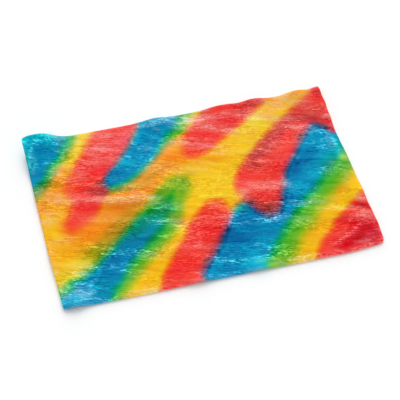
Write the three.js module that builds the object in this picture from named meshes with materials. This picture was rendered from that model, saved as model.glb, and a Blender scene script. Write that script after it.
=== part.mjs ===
// A single sheet of fruit leather, laid flat and curling a little at its edges.
//
// It is one piece: an oblong of soft fruit gel a little over a millimetre thick. It lies on the XY plane
// with its long side along X, its front edge towards -Y and its underside at z = 0 where it touches down.
// The sheet is a finely divided box. Every point of the box is carried to its place on a gently waved
// surface, and the thickness is laid off square to that surface, so the gel is equally thick all over.
import * as THREE from "three";
import { mergeVertices } from "three/addons/utils/BufferGeometryUtils.js";

// Size of the sheet, in millimetres.
const length = 130.4;
const width = 89.2;
const thickness = 1.1;
// How far the middle of the cut side stands out past its upper and lower rims.
const edgeBulge = 0.25;
// The back edge is cut slightly askew: its right end lies further back than its left by twice this.
const backEdgeSkew = 0.5;

// Divisions of the sheet. Near the ends, where it curls, the columns are narrower than in the middle.
const columns = 52;
const rows = 50;
const columnGrading = 0.25;

// Radius of each rounded corner, by the sides that meet there.
const cornerRadii = [
  { x: 1, y: -1, radius: 2.4 },
  { x: -1, y: -1, radius: 1.2 },
  { x: -1, y: 1, radius: 0.9 },
  { x: 1, y: 1, radius: 0.9 },
];

// Where a cut edge wanders from its straight line: `out` is how far it stands out at its fullest, `at` and
// `half` are the place along the edge and the half length there.
const edgeWander = [
  { side: "left", at: -44, half: 17, out: -0.8 },
  { side: "right", at: 36, half: 5, out: 0.3 },
  { side: "right", at: 17, half: 7, out: -0.55 },
  { side: "right", at: -34, half: 4, out: 0.3 },
  { side: "back", at: -22, half: 10, out: -0.2 },
  { side: "back", at: 30, half: 22, out: 0.3 },
  { side: "front", at: 63, half: 7, out: -1.1 },
];
// How far into the sheet such a wandering edge still moves it sideways.
const wanderReach = 12;

// Lifts that start at an edge: `at` is the place along the edge and `half` the half length of the lift
// there, `height` is how high the very edge rises, and `reach` how far the lift runs into the sheet.
const edgeLifts = [
  // The curl of the back left corner, highest a little way along the back edge.
  { side: "back", at: -58, half: 7.4, height: 5.6, reach: 3.6 },
  { side: "left", at: 38.8, half: 11, height: 2.7, reach: 4.2 },
  // Ripples of the back edge, growing towards the right.
  { side: "back", at: -8, half: 5, height: 1.1, reach: 6 },
  { side: "back", at: 21, half: 6.5, height: 1.3, reach: 7 },
  { side: "back", at: 36, half: 5, height: 1.8, reach: 6 },
  { side: "back", at: 55, half: 6.5, height: 2.1, reach: 7 },
  // The pointed tip of the back right corner, and the puckers of the right edge below it.
  { side: "right", at: 44, half: 3, height: 2.0, reach: 3 },
  { side: "right", at: 36.8, half: 2.6, height: 0.9, reach: 3 },
  { side: "right", at: 27.8, half: 2.6, height: 0.8, reach: 3 },
  { side: "right", at: 15.8, half: 4, height: 0.9, reach: 4 },
  // Two swellings of the right edge with a short groove between them.
  { side: "right", at: -15.2, half: 5, height: 0.9, reach: 8 },
  { side: "right", at: -27.2, half: 3.4, height: 1.0, reach: 10 },
  // The front edge: a clear lift by the left corner and two slight ones near the middle.
  { side: "front", at: -59.8, half: 4.2, height: 1.6, reach: 5 },
  { side: "front", at: -10.5, half: 4, height: 0.9, reach: 4 },
  { side: "front", at: 13.6, half: 5.4, height: 1.0, reach: 4 },
  // The left edge below the curl.
  { side: "left", at: 10.8, half: 5, height: 0.7, reach: 4 },
  { side: "left", at: -21.2, half: 7, height: 0.6, reach: 4 },
];

// Creases: a low rounded ridge along each line of points.
const creases = [
  // A bent crease that closes off the front right corner.
  { along: [[45.5, -42], [50.5, -36.9], [54, -31.4], [58.5, -29.3], [63.6, -32.8]], height: 0.7, half: 1.7 },
  // A fold that runs beside the front edge.
  { along: [[-6.8, -36.5], [4.2, -36], [15.6, -35.9]], height: 0.6, half: 1.5 },
];

// The sheet was drawn out along one direction, so its low swells are long that way and narrow across.
const drawAngle = THREE.MathUtils.degToRad(-14);
const swells = [
  { x: -32, y: 39.8, halfLength: 13, halfWidth: 5, height: 0.6 },
  { x: -56, y: 27.8, halfLength: 8, halfWidth: 2.6, height: 0.5 },
  { x: -6, y: 40.8, halfLength: 9, halfWidth: 3.4, height: 0.5 },
  { x: 14, y: 35.8, halfLength: 12, halfWidth: 3.4, height: 0.6 },
  { x: 42, y: 32.8, halfLength: 13, halfWidth: 4.5, height: 0.6 },
  { x: -12, y: 19.8, halfLength: 11, halfWidth: 3.6, height: 0.4 },
  { x: 22, y: 16.8, halfLength: 13, halfWidth: 3.4, height: 0.4 },
  { x: -32, y: 4, halfLength: 15, halfWidth: 2.8, height: 0.7 },
  { x: 24, y: -4.2, halfLength: 11, halfWidth: 3.2, height: 0.6 },
  { x: -15, y: -12.7, halfLength: 10, halfWidth: 2.8, height: 0.6 },
  { x: 24, y: -21.2, halfLength: 11, halfWidth: 2.8, height: 0.7 },
  { x: -50, y: -26.2, halfLength: 12, halfWidth: 3.2, height: 0.5 },
  { x: -22, y: -26.2, halfLength: 11, halfWidth: 3.0, height: 0.5 },
  { x: 48, y: -23.2, halfLength: 10, halfWidth: 2.8, height: 0.5 },
];

// Faint waves under all of these, and the depth by which the table flattens everything that would sag.
const waves = [
  { wavelength: 37, angle: 0.5, height: 0.16, phase: 0.7 },
  { wavelength: 23, angle: 1.35, height: 0.13, phase: 2.1 },
];
const flattened = 0.22;
// Height over which the sheet parts from the table softly.
const softness = 0.12;

// A bell curve: 1 at zero, falling to 0.37 at one half width and to nothing past two.
function bell(distance, half) {
  return Math.exp(-((distance / half) ** 2));
}

// Distance from (x, y) to the segment between two points.
function distanceToSegment(x, y, [ax, ay], [bx, by]) {
  const along = ((x - ax) * (bx - ax) + (y - ay) * (by - ay)) / ((bx - ax) ** 2 + (by - ay) ** 2);
  const t = THREE.MathUtils.clamp(along, 0, 1);
  return Math.hypot(x - ax - t * (bx - ax), y - ay - t * (by - ay));
}

// Distance from (x, y) to the nearest segment of a line of points.
function distanceToLine(x, y, points) {
  const each = points.slice(1).map((point, i) => distanceToSegment(x, y, points[i], point));
  return Math.min(...each);
}

// Share, from 0 to 1, of what happens at one stretch of an edge that is felt at (x, y).
function shareOfEdge(x, y, { side, at, half }, reach) {
  const lengthways = side === "front" || side === "back";
  const place = lengthways ? x : y;
  const inwards = {
    front: width / 2 + y,
    back: width / 2 - y,
    left: length / 2 + x,
    right: length / 2 - x,
  }[side];
  return bell(place - at, half) * bell(inwards, reach);
}

// Height that one swell adds at (x, y).
function swellHeight(x, y, { x: cx, y: cy, halfLength, halfWidth, height }) {
  const along = (x - cx) * Math.cos(drawAngle) + (y - cy) * Math.sin(drawAngle);
  const across = (y - cy) * Math.cos(drawAngle) - (x - cx) * Math.sin(drawAngle);
  return height * bell(along, halfLength) * bell(across, halfWidth);
}

function waveHeight(x, y, { wavelength, angle, height, phase }) {
  const along = x * Math.cos(angle) + y * Math.sin(angle);
  return height * Math.sin((2 * Math.PI * along) / wavelength + phase);
}

// Height of the sheet's underside above the table. What would sag below the table lies flat on it.
function undersideHeight(x, y) {
  let height = -flattened;
  for (const wave of waves) height += waveHeight(x, y, wave);
  for (const swell of swells) height += swellHeight(x, y, swell);
  for (const lift of edgeLifts) height += lift.height * shareOfEdge(x, y, lift, lift.reach);
  for (const { along, half, height: rise } of creases) height += rise * bell(distanceToLine(x, y, along), half);
  if (height <= -softness) return 0;
  if (height >= softness) return height;
  return (height + softness) ** 2 / (4 * softness);
}

// Unit normal of the underside, pointing up, from the slope over a short step.
function normalAt(x, y) {
  const step = 0.05;
  const slopeX = (undersideHeight(x + step, y) - undersideHeight(x - step, y)) / (2 * step);
  const slopeY = (undersideHeight(x, y + step) - undersideHeight(x, y - step)) / (2 * step);
  return new THREE.Vector3(-slopeX, -slopeY, 1).normalize();
}

const outwards = {
  front: new THREE.Vector2(0, -1),
  back: new THREE.Vector2(0, 1),
  left: new THREE.Vector2(-1, 0),
  right: new THREE.Vector2(1, 0),
};

// Plan place of a point of the flat sheet: columns graded, corners rounded and the edges as they were cut.
function planPlace(x, y) {
  const graded = x + ((columnGrading * length) / (2 * Math.PI)) * Math.sin((2 * Math.PI * x) / length);
  const place = new THREE.Vector2(graded, y);
  for (const corner of cornerRadii) {
    const centre = new THREE.Vector2(
      corner.x * (length / 2 - corner.radius),
      corner.y * (width / 2 - corner.radius),
    );
    const out = place.clone().sub(centre);
    const inCorner = out.x * corner.x > 0 && out.y * corner.y > 0;
    if (inCorner && out.length() > corner.radius) place.copy(centre).add(out.setLength(corner.radius));
  }
  const { x: px, y: py } = place;
  place.y += ((backEdgeSkew * px) / (length / 2)) * ((py + width / 2) / width);
  for (const wander of edgeWander) {
    place.addScaledVector(outwards[wander.side], wander.out * shareOfEdge(px, py, wander, wanderReach));
  }
  return place;
}

// Both faces are split along the same diagonal, so that the sheet is equally thick between its points.
function matchUndersideDiagonals(geometry) {
  const index = geometry.getIndex();
  const underside = geometry.groups[5];
  for (let i = underside.start; i < underside.start + underside.count; i += 6) {
    const a = index.getX(i);
    const b = index.getX(i + 1);
    const d = index.getX(i + 2);
    const c = index.getX(i + 4);
    [a, b, c, a, c, d].forEach((corner, k) => index.setX(i + k, corner));
  }
}

function sheetGeometry() {
  const geometry = new THREE.BoxGeometry(length, width, thickness, columns, rows, 2);
  matchUndersideDiagonals(geometry);
  geometry.clearGroups();
  geometry.deleteAttribute("normal");
  geometry.deleteAttribute("uv");
  const sheet = mergeVertices(geometry, 1e-3);
  const positions = sheet.getAttribute("position");
  const tiny = 1e-3;
  const point = new THREE.Vector3();
  for (let i = 0; i < positions.count; i++) {
    point.fromBufferAttribute(positions, i);
    const place = planPlace(point.x, point.y);
    const rise = point.z + thickness / 2;
    const halfway = Math.abs(point.z) < tiny;
    const sideX = length / 2 - Math.abs(point.x) < tiny ? Math.sign(point.x) : 0;
    const sideY = width / 2 - Math.abs(point.y) < tiny ? Math.sign(point.y) : 0;
    const bulge = new THREE.Vector3(sideX, sideY, 0).setLength(halfway ? edgeBulge : 0);
    const carried = new THREE.Vector3(place.x, place.y, undersideHeight(place.x, place.y));
    carried.addScaledVector(normalAt(place.x, place.y), rise);
    carried.add(bulge);
    positions.setXYZ(i, carried.x, carried.y, carried.z);
  }
  // The origin is under the middle of the sheet, at the height of the table.
  sheet.computeBoundingBox();
  const middle = sheet.boundingBox.getCenter(new THREE.Vector3());
  sheet.translate(-middle.x, -middle.y, -sheet.boundingBox.min.z);
  return sheet;
}

const gel = new THREE.MeshStandardMaterial({ color: 0xf0a81e, roughness: 0.35, metalness: 0 });

const fruitLeather = new THREE.Group();
const sheet = new THREE.Mesh(sheetGeometry(), gel);
sheet.name = "fruit_leather_sheet";
fruitLeather.add(sheet);

export default fruitLeather;
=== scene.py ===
# %% [markdown]
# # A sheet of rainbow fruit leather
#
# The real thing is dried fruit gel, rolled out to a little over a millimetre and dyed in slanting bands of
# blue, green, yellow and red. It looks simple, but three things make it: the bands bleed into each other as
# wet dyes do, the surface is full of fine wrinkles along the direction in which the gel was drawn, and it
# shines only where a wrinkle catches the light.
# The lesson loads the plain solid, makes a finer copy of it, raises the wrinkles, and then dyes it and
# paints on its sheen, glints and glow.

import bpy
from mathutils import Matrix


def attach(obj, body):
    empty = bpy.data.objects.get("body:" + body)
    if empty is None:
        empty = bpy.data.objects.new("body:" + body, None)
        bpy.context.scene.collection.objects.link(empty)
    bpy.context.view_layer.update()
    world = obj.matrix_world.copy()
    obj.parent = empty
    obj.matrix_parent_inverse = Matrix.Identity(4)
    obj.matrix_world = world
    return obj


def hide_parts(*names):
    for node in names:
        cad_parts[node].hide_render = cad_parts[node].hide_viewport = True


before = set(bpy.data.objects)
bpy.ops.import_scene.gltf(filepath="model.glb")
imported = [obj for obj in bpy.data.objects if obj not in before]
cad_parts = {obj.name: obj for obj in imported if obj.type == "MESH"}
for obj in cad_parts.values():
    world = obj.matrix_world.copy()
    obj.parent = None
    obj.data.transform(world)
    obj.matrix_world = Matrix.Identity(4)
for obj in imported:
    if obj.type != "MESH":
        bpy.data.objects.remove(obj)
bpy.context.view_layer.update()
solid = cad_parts["fruit_leather_sheet"]

# %% Libraries and the unit of length
import math

import bmesh
import bpy
import numpy as np
from mathutils import Vector

MM = 0.001
bpy.context.scene.view_settings.view_transform = "Standard"

# %% [markdown]
# ## The camera
#
# The photographer stood in front of the sheet with a longish lens, a little left of the middle, and looked
# down at about 49 degrees. A camera can be turned by hand until it fits, but then it moves when anything
# else does. Here it is placed from four values: the point it looks at, how far away it stands, and the two
# angles that say from where. The `back` vector points from that point to the camera.

# %% Place the camera
LOOKED_AT = Vector((-0.45, -3.69, 0.0)) * MM
CAMERA_DISTANCE = 570.4 * MM
CAMERA_AZIMUTH = math.radians(-14.38)
CAMERA_ELEVATION = math.radians(49.26)
LENS = 126.0


def towards(azimuth, elevation):
    """A unit vector pointing away from the sheet. Azimuth 0 is in front of it, at -Y."""
    flat = math.cos(elevation)
    return Vector((math.sin(azimuth) * flat, -math.cos(azimuth) * flat, math.sin(elevation)))


camera_data = bpy.data.cameras.new("camera")
camera_data.lens = LENS
camera_data.sensor_width = 36.0
camera_data.clip_start = 0.01
camera = bpy.data.objects.new("camera", camera_data)
bpy.context.collection.objects.link(camera)
back = towards(CAMERA_AZIMUTH, CAMERA_ELEVATION)
camera.location = LOOKED_AT + back * CAMERA_DISTANCE
camera.rotation_euler = back.to_track_quat("Z", "Y").to_euler()
bpy.context.scene.camera = camera
print("camera stands at", [round(c, 3) for c in camera.location])

# %% [markdown]
# ## The table and the light
#
# The table is plain white and fills the view. The light on it is soft and comes low from behind and a
# little right, so the sheet throws a short, soft shadow to the front. The curl's inside is kept bright by a
# painted glow and thinner dye, further down.
# A glossy thing needs a second thought: every lamp also shows in it as a mirror picture. Photographers put
# up black cards so that a broad soft lamp doesn't grey the colours. A lamp in Blender can simply be hidden
# from glossy rays. So one broad lamp gives the light, and one small lamp, hidden from diffuse rays, gives
# the glints on the wrinkles.

# %% Table
TABLE_HALF = 4.0
table_mesh = bpy.data.meshes.new("table")
shape = bmesh.new()
bmesh.ops.create_grid(shape, x_segments=1, y_segments=1, size=TABLE_HALF)
shape.to_mesh(table_mesh)
shape.free()
table = bpy.data.objects.new("table", table_mesh)
bpy.context.collection.objects.link(table)
table_white = bpy.data.materials.new("table_white")
table_white.use_nodes = True
table_shader = table_white.node_tree.nodes["Principled BSDF"]
table_shader.inputs["Base Color"].default_value = (0.93, 0.93, 0.93, 1)
table_shader.inputs["Roughness"].default_value = 0.9
table_shader.inputs["Specular IOR Level"].default_value = 0.0
table_mesh.materials.append(table_white)
print("table is", 2 * TABLE_HALF, "m wide")

# %% Lamps
FILL = 0.67
world = bpy.data.worlds.new("studio")
world.use_nodes = True
world.node_tree.nodes["Background"].inputs["Color"].default_value = (1, 1, 1, 1)
world.node_tree.nodes["Background"].inputs["Strength"].default_value = FILL
bpy.context.scene.world = world
world.cycles_visibility.glossy = False


def sun(name, strength, azimuth, elevation, spread, gloss):
    """A lamp with only a direction and a spread. It gives either the light or the glints."""
    lamp = bpy.data.lights.new(name, "SUN")
    lamp.energy = strength
    lamp.angle = math.radians(spread)
    holder = bpy.data.objects.new(name, lamp)
    bpy.context.collection.objects.link(holder)
    way = towards(math.radians(azimuth), math.radians(elevation))
    holder.rotation_euler = way.to_track_quat("Z", "Y").to_euler()
    holder.visible_glossy = gloss
    holder.visible_diffuse = not gloss


sun("broad_light", strength=2.95, azimuth=165, elevation=26, spread=60, gloss=False)
sun("overhead_glint", strength=0.07, azimuth=168, elevation=79, spread=12, gloss=True)

# %% [markdown]
# ## A finer sheet
#
# The solid is made of about eleven thousand loose triangles, which is enough for its curls and creases and
# too coarse for its wrinkles. Sculpting a new sheet would lose the form that is already right. So this one
# starts as a copy: doubled corners are merged, pairs of triangles are joined to the quads that they came
# from, and a Subdivision Surface splits every quad in sixteen and rounds the cut edge on the way.
# It would round the four corners of the sheet as well. A crease holds an edge back, so the upright edges
# where the outline turns sharply get one.

# %% Copy, merge and crease
SAME_PLACE = 0.001 * MM
UPRIGHT = 0.8
SHARP_TURN = math.radians(35)
CORNER_CREASE = 0.6
gel_mesh = solid.data.copy()
gel_mesh.name = "fruit_leather_gel"
shape = bmesh.new()
shape.from_mesh(gel_mesh)
bmesh.ops.remove_doubles(shape, verts=shape.verts, dist=SAME_PLACE)
bmesh.ops.join_triangles(shape, faces=shape.faces, angle_face_threshold=math.radians(60),
                         angle_shape_threshold=math.radians(50))
crease = shape.edges.layers.float.new("crease_edge")
for edge in shape.edges:
    upright = abs((edge.verts[0].co - edge.verts[1].co).normalized().z) > UPRIGHT
    if upright and edge.calc_face_angle() > SHARP_TURN:
        edge[crease] = CORNER_CREASE
print("quads after joining:", len(shape.faces))
print("creased corner edges:", sum(edge[crease] > 0 for edge in shape.edges))
shape.to_mesh(gel_mesh)
shape.free()

# %% Subdivide
coarse = bpy.data.objects.new("coarse_gel", gel_mesh)
bpy.context.collection.objects.link(coarse)
finer = coarse.modifiers.new("finer", "SUBSURF")
finer.levels = 2
finer.render_levels = 2
fine_mesh = bpy.data.meshes.new_from_object(coarse.evaluated_get(bpy.context.evaluated_depsgraph_get()))
fine_mesh.name = "fruit_leather_gel"
bpy.data.objects.remove(coarse)
gel = bpy.data.objects.new("fruit_leather_gel", fine_mesh)
bpy.context.collection.objects.link(gel)
fine_mesh.materials.clear()
fine_mesh.shade_smooth()
print("finer sheet has", len(fine_mesh.polygons), "faces")

# %% Read the vertices, in millimetres
count = len(fine_mesh.vertices)
places = np.empty(count * 3)
fine_mesh.vertices.foreach_get("co", places)
places = places.reshape(-1, 3) / MM
normals = np.empty(count * 3)
fine_mesh.vertices.foreach_get("normal", normals)
normals = normals.reshape(-1, 3)
x, y = places[:, 0].copy(), places[:, 1].copy()
print("vertices:", count)

# %% [markdown]
# ## Helpers for patterns
#
# Both the wrinkles and the dyes are worked out for each vertex with numpy, because a curl or a dye border
# has a place on this sheet, and a shader knows no places. `rise` is a soft step, `noise` is a smooth
# random field, and `drawn_noise` stretches it along the direction in which the gel was drawn out.

# %% Soft steps, spots and noise
DRAW_ANGLE = math.radians(-14)


def ease(t):
    """A soft step from 0 to 1 as t goes from 0 to 1."""
    t = np.clip(t, 0, 1)
    return t * t * (3 - 2 * t)


def rise(value, start, end):
    """A soft step from 0 at start to 1 at end."""
    return ease((value - start) / (end - start))


def along_and_across(x, y, angle=DRAW_ANGLE):
    """Distances along a direction and across it."""
    return x * math.cos(angle) + y * math.sin(angle), y * math.cos(angle) - x * math.sin(angle)


def spot(x, y, middle_x, middle_y, half_length, half_width, turn=0):
    """A soft oval spot, 1 at its middle, turned by an angle in degrees."""
    along, across = along_and_across(x - middle_x, y - middle_y, math.radians(turn))
    return np.exp(-(along / half_length) ** 2 - (across / half_width) ** 2)


def noise(u, v, seed):
    """A smooth random field from 0 to 1 with one lump for each unit."""
    table = np.random.default_rng(seed).random((64, 64))
    left, low = np.floor(u).astype(int), np.floor(v).astype(int)
    fu, fv = ease(u - left), ease(v - low)
    near = table[left % 64, low % 64] * (1 - fu) + table[(left + 1) % 64, low % 64] * fu
    far = table[left % 64, (low + 1) % 64] * (1 - fu) + table[(left + 1) % 64, (low + 1) % 64] * fu
    return near * (1 - fv) + far * fv


drawn_along, drawn_across = along_and_across(x, y)
drawn_across = drawn_across + 2.6 * noise(x / 26 + 1, y / 17 + 4, 31) + 0.9 * noise(x / 9, y / 7 + 2, 32)


def drawn_noise(length, pitch, seed):
    """Noise drawn out along the gel's slightly wavy draw direction, from -0.5 to 0.5."""
    return noise(drawn_along / length + 0.31 * drawn_across / pitch, drawn_across / pitch, seed) - 0.5


print("a row of drawn noise:", drawn_noise(7, 1.0, 1)[:4].round(2))


# %% [markdown]
# ## Wrinkles
#
# A dried sheet puckers where it was drawn: long shallow wrinkles side by side, deeper in some places than in
# others, and short crimps in the corner that was pinched. They are only about a tenth of a millimetre high,
# but they carry the real glints; more glints are painted into the colour further down. A bump map would give
# the glints too, yet the wrinkles also break up the outline of the shine, so the larger ones are real
# relief, moved along the normals of the upper face.

# %% Relief of the upper face
LONG_HEIGHT = 0.15
SHORT_HEIGHT = 0.10
upper = rise(normals[:, 2], 0.55, 0.95)
patchy = 0.35 + 1.1 * noise(x / 14 + 3, y / 9 + 7, 21)
long_wrinkles = drawn_noise(9, 1.9, 22)
short_wrinkles = drawn_noise(4.5, 1.5, 23)
relief = upper * patchy * (LONG_HEIGHT * long_wrinkles + SHORT_HEIGHT * short_wrinkles)
moved = places + normals * relief[:, None]
fine_mesh.vertices.foreach_set("co", (moved * MM).ravel())
fine_mesh.update()
print("relief from", round(relief.min(), 3), "to", round(relief.max(), 3), "mm")

# %% [markdown]
# ## Dyes
#
# Wet dye spreads from pools. Yellow is nearly everywhere, red lies over it, and blue pushes it away: where
# blue thins out into yellow there is a wide green fringe, and where it meets red there is only a thin
# purple line. A painter's brush would need an image, so each pool is an outline instead, a dozen or two
# corners read off like a coastline, and every corner also says how the dye bleeds there.
# After the pools come soft spots, where a dye lies thicker or thinner, where a trace of one has run into
# another, and where a pale sheen is painted on. Last come the painted highlights, bright strokes and glints
# on the crests of wrinkles, where the dye is also thinned.

# %% Depth inside an outline
def rounded(corners, steps=5):
    """A smooth closed curve through an outline's corners. The value each corner carries is blended too."""
    here = np.array(corners, float)
    before, after, beyond = (np.roll(here, shift, axis=0) for shift in (1, -1, -2))
    stretches = []
    for t in np.arange(steps) / steps:
        bend = (2 * before - 5 * here + 4 * after - beyond) * t ** 2
        twist = (3 * here - before - 3 * after + beyond) * t ** 3
        stretches.append(0.5 * (2 * here + (after - before) * t + bend + twist))
    return np.stack(stretches, 1).reshape(-1, 3)


def from_stretch(x, y, start, end):
    """How far each place is from a straight stretch, and how far along it the nearest point lies, 0 to 1."""
    step_x, step_y = end[0] - start[0], end[1] - start[1]
    off_x, off_y = x - start[0], y - start[1]
    share = np.clip((off_x * step_x + off_y * step_y) / (step_x ** 2 + step_y ** 2 + 1e-12), 0, 1)
    return np.hypot(off_x - share * step_x, off_y - share * step_y), share


def depth_and_bleed(x, y, corners):
    """How deep each place lies inside an outline, negative outside it, and the nearest border's bleed."""
    curve = rounded(corners)
    nearest = np.full(x.shape, 1e9)
    bleed = np.ones(x.shape)
    inside = np.zeros(x.shape, bool)
    for start, end in zip(curve, np.roll(curve, -1, axis=0)):
        away, share = from_stretch(x, y, start, end)
        closer = away < nearest
        nearest = np.where(closer, away, nearest)
        bleed = np.where(closer, start[2] + share * (end[2] - start[2]), bleed)
        if start[1] != end[1]:
            crosses = (start[1] > y) != (end[1] > y)
            slope = (end[0] - start[0]) / (end[1] - start[1])
            inside ^= crosses & (x - start[0] < (y - start[1]) * slope)
    return np.where(inside, nearest, -nearest), bleed


def distance_to_line(x, y, points):
    """How far each place is from a line through points."""
    nearest = np.full(x.shape, 1e9)
    for start, end in zip(points, points[1:]):
        nearest = np.minimum(nearest, from_stretch(x, y, start, end)[0])
    return nearest


SQUARE = [(-10, -10, 0), (10, -10, 0), (10, 10, 0), (-10, 10, 0)]
middle = np.zeros(1)
print("depth in the middle of a rounded square:", depth_and_bleed(middle, middle, SQUARE)[0].round(1))

# %% Outlines of the blue pools
# Each corner is x, y in millimetres, then 1 where the blue bleeds far into yellow and 0 where it meets red.
BLUE_POOLS = [
    # back left corner
    [
        (-84, 60, 0.5), (-42, 56, 0.5), (-44, 45, 0.5), (-46.2, 40, 0.5), (-49, 36, 0.5), (-51.2, 32, 0.4),
        (-54.8, 28, 0.45), (-57.5, 24, 0.4), (-59.5, 20, 0.45), (-63, 17, 0.5), (-68, 15, 0.5),
        (-84, 10, 0.5),
    ],
    # middle of the back edge, down to a point
    [
        (-13.5, 54, 0), (-15.2, 44, 0), (-16.7, 40, 0), (-18.9, 36, 0), (-21.7, 32, 0), (-24.7, 28, 0),
        (-28.4, 24, 0), (-32.5, 20, 0), (-35.5, 16, 0), (-35.9, 12.5, 0.1), (-33.5, 10.2, 0.3),
        (-27.9, 11.8, 0.25), (-21.6, 15.8, 0.2), (-16.8, 20, 0.15), (-12.6, 24, 0.15), (-9.3, 28, 0.25),
        (-4.6, 32, 0.4), (-0.6, 35.4, 0.4), (2.8, 39.6, 0.5), (5, 44, 0.6), (9, 54, 1),
    ],
    # right side, with a lobe down to the front edge
    [
        (57, 24.6, 0), (53.6, 22.5, 0), (51.4, 20, 0), (48.4, 16, 0), (45.4, 12, 0), (42.5, 8, 0),
        (39.4, 4, 0), (36.9, 0, 0), (35.4, -4, 0), (33.8, -8, 0), (32.4, -12, 0), (30.6, -16, 0),
        (27.5, -19.4, 0), (23.5, -19.6, 0), (20.0, -16.2, 0), (17.6, -12.0, 0), (15, -10.8, 0.05),
        (12, -12.8, 0.05), (10, -16, 0), (7.5, -20, 0), (5, -24, 0), (2.3, -28, 0), (-0.8, -32, 0),
        (-4.2, -36, 0), (-7.6, -40, 0), (-9, -45, 0), (-11, -60, 0), (15, -60, 1), (21, -44, 1),
        (24.5, -40, 1), (27, -36, 1), (29.8, -32, 1), (33.1, -28, 1), (36.8, -24, 1.1), (40.4, -20, 1),
        (44.8, -16, 1), (49.3, -12, 1), (53.8, -8, 1), (58, -4, 1), (62.5, 0, 1), (68, 4, 1), (76, 8, 1),
        (76, 17, 0.2), (65.5, 17.6, 0), (62.6, 18.6, 0), (60.6, 21.8, 0),
    ],
    # slanting band down to the front left corner
    [
        (-8.5, 6.5, 0.9), (-12.3, 3.8, 0.5), (-17.0, -0.6, 0.4), (-23.0, -4.6, 0.35), (-28.1, -8.6, 0.35),
        (-32.7, -12.6, 0.35), (-37.1, -16.6, 0.35), (-41.2, -20.6, 0.35), (-45.6, -24.6, 0.3),
        (-50.0, -28.4, 0.3), (-55.8, -32.2, 0.3), (-61, -35.5, 0.4), (-68, -38, 0.5), (-84, -44, 0.6),
        (-84, -62, 0.6), (-50, -62, 0.6), (-43.3, -44.5, 0.6), (-39.9, -40, 0.65), (-36.6, -36, 0.7),
        (-33.2, -32, 0.8), (-29, -28, 0.8), (-24.6, -24, 0.8), (-19.9, -20, 0.8), (-16.2, -16, 0.8),
        (-13.8, -12, 0.8), (-11.3, -8, 0.7), (-10, -4, 0.7), (-8.2, 0, 0.8), (-6.6, 4, 0.9),
    ],
]
print("blue pools:", len(BLUE_POOLS))

# %% Outlines of the red pools
# Each corner is x, y in millimetres, then how many millimetres wide the border is there.
RED_POOLS = [
    # from the back edge down to the left
    [
        (-31.4, 54, 6), (-35.0, 44, 6), (-37.2, 40, 6), (-39.6, 36, 6), (-42.1, 32, 5), (-45.4, 28, 5),
        (-47.6, 24, 5), (-49.6, 20, 5), (-52.8, 16.5, 5), (-52.8, 12, 5), (-51.4, 8, 5), (-52, 4, 5),
        (-54.6, 0, 5), (-56.2, -4, 6), (-54.8, -7.6, 7), (-50, -6.4, 7), (-47, -4.2, 7), (-42.8, -1, 5),
        (-41, 2, 4.5), (-39.4, 4.6, 4.5), (-36.0, 8, 4), (-35.4, 12, 5), (-35.4, 16, 6), (-32.7, 20, 6),
        (-29.0, 24, 6), (-25.4, 28, 6), (-22.5, 32, 6), (-19.8, 36, 6), (-17.5, 40, 6), (-16, 44, 6),
        (-14, 54, 6),
    ],
    # middle of the back edge
    [
        (14, 54, 5), (12, 44, 5), (9.3, 40, 5.5), (5.4, 36, 5), (2.3, 32, 5), (1.2, 28, 6), (-0.4, 24, 7),
        (0, 20.4, 6), (4, 18.9, 5), (9, 21, 5), (14, 24.3, 5), (19.2, 28, 5), (25.8, 32, 4.5), (30.8, 36, 5),
        (36.8, 40, 4.5), (40.8, 44, 5), (48, 54, 5),
    ],
    # from the back right corner to a tongue in the middle
    [
        (76, 56, 5), (63, 45, 5), (57, 40.3, 5), (50.6, 36, 5.5), (46, 32, 5), (40.2, 28, 4.5),
        (35.2, 24, 4.5), (31, 20, 4), (27.3, 16, 4), (22.9, 12, 4), (19.3, 8, 4), (16.9, 4, 4), (15.4, 0, 4),
        (15, -4, 4.5), (16.2, -8, 4), (17.4, -12, 5), (18.8, -16, 5), (22.6, -20.2, 6), (27.4, -20.6, 6),
        (31.0, -16.6, 6), (32.9, -12, 6), (34.4, -8, 6), (36.0, -4, 6), (37.6, 0, 6), (40.0, 4, 6),
        (43.2, 8, 6), (46.1, 12, 6), (49.0, 16, 6), (52.0, 20, 5.5), (54.4, 22.4, 5), (57, 24.2, 4.5),
        (60.2, 21.4, 4.5), (62.4, 18.2, 4), (65.5, 17.4, 4), (76, 17, 4),
    ],
    # front right corner
    [
        (78, -14, 4), (65, -17, 4), (60.6, -20, 4), (55.8, -24, 4), (50, -28, 4), (46.9, -32, 4.5),
        (42.6, -36, 4.5), (39.4, -40, 4), (37.4, -44, 4), (34, -58, 4), (78, -58, 4),
    ],
    # short band in the middle of the front
    [
        (5, -6.0, 5), (1, -7.1, 5.5), (-3.6, -12, 5), (-7.6, -16, 4.5), (-10, -20, 4.5), (-12.2, -24, 4),
        (-15.9, -28, 4), (-18.9, -32, 4), (-21.8, -36, 4), (-24.6, -40, 4), (-25.8, -44, 4), (-31, -58, 4),
        (-11, -58, 6), (-9.0, -44.5, 6), (-6.6, -40, 6), (-3.3, -36, 6), (0.1, -32, 6), (3.2, -28, 6),
        (5.9, -24, 6), (8.4, -20, 6), (10.2, -16, 5), (10.0, -12, 4), (8.2, -7.6, 4.5),
    ],
]
print("red pools:", len(RED_POOLS))

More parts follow.
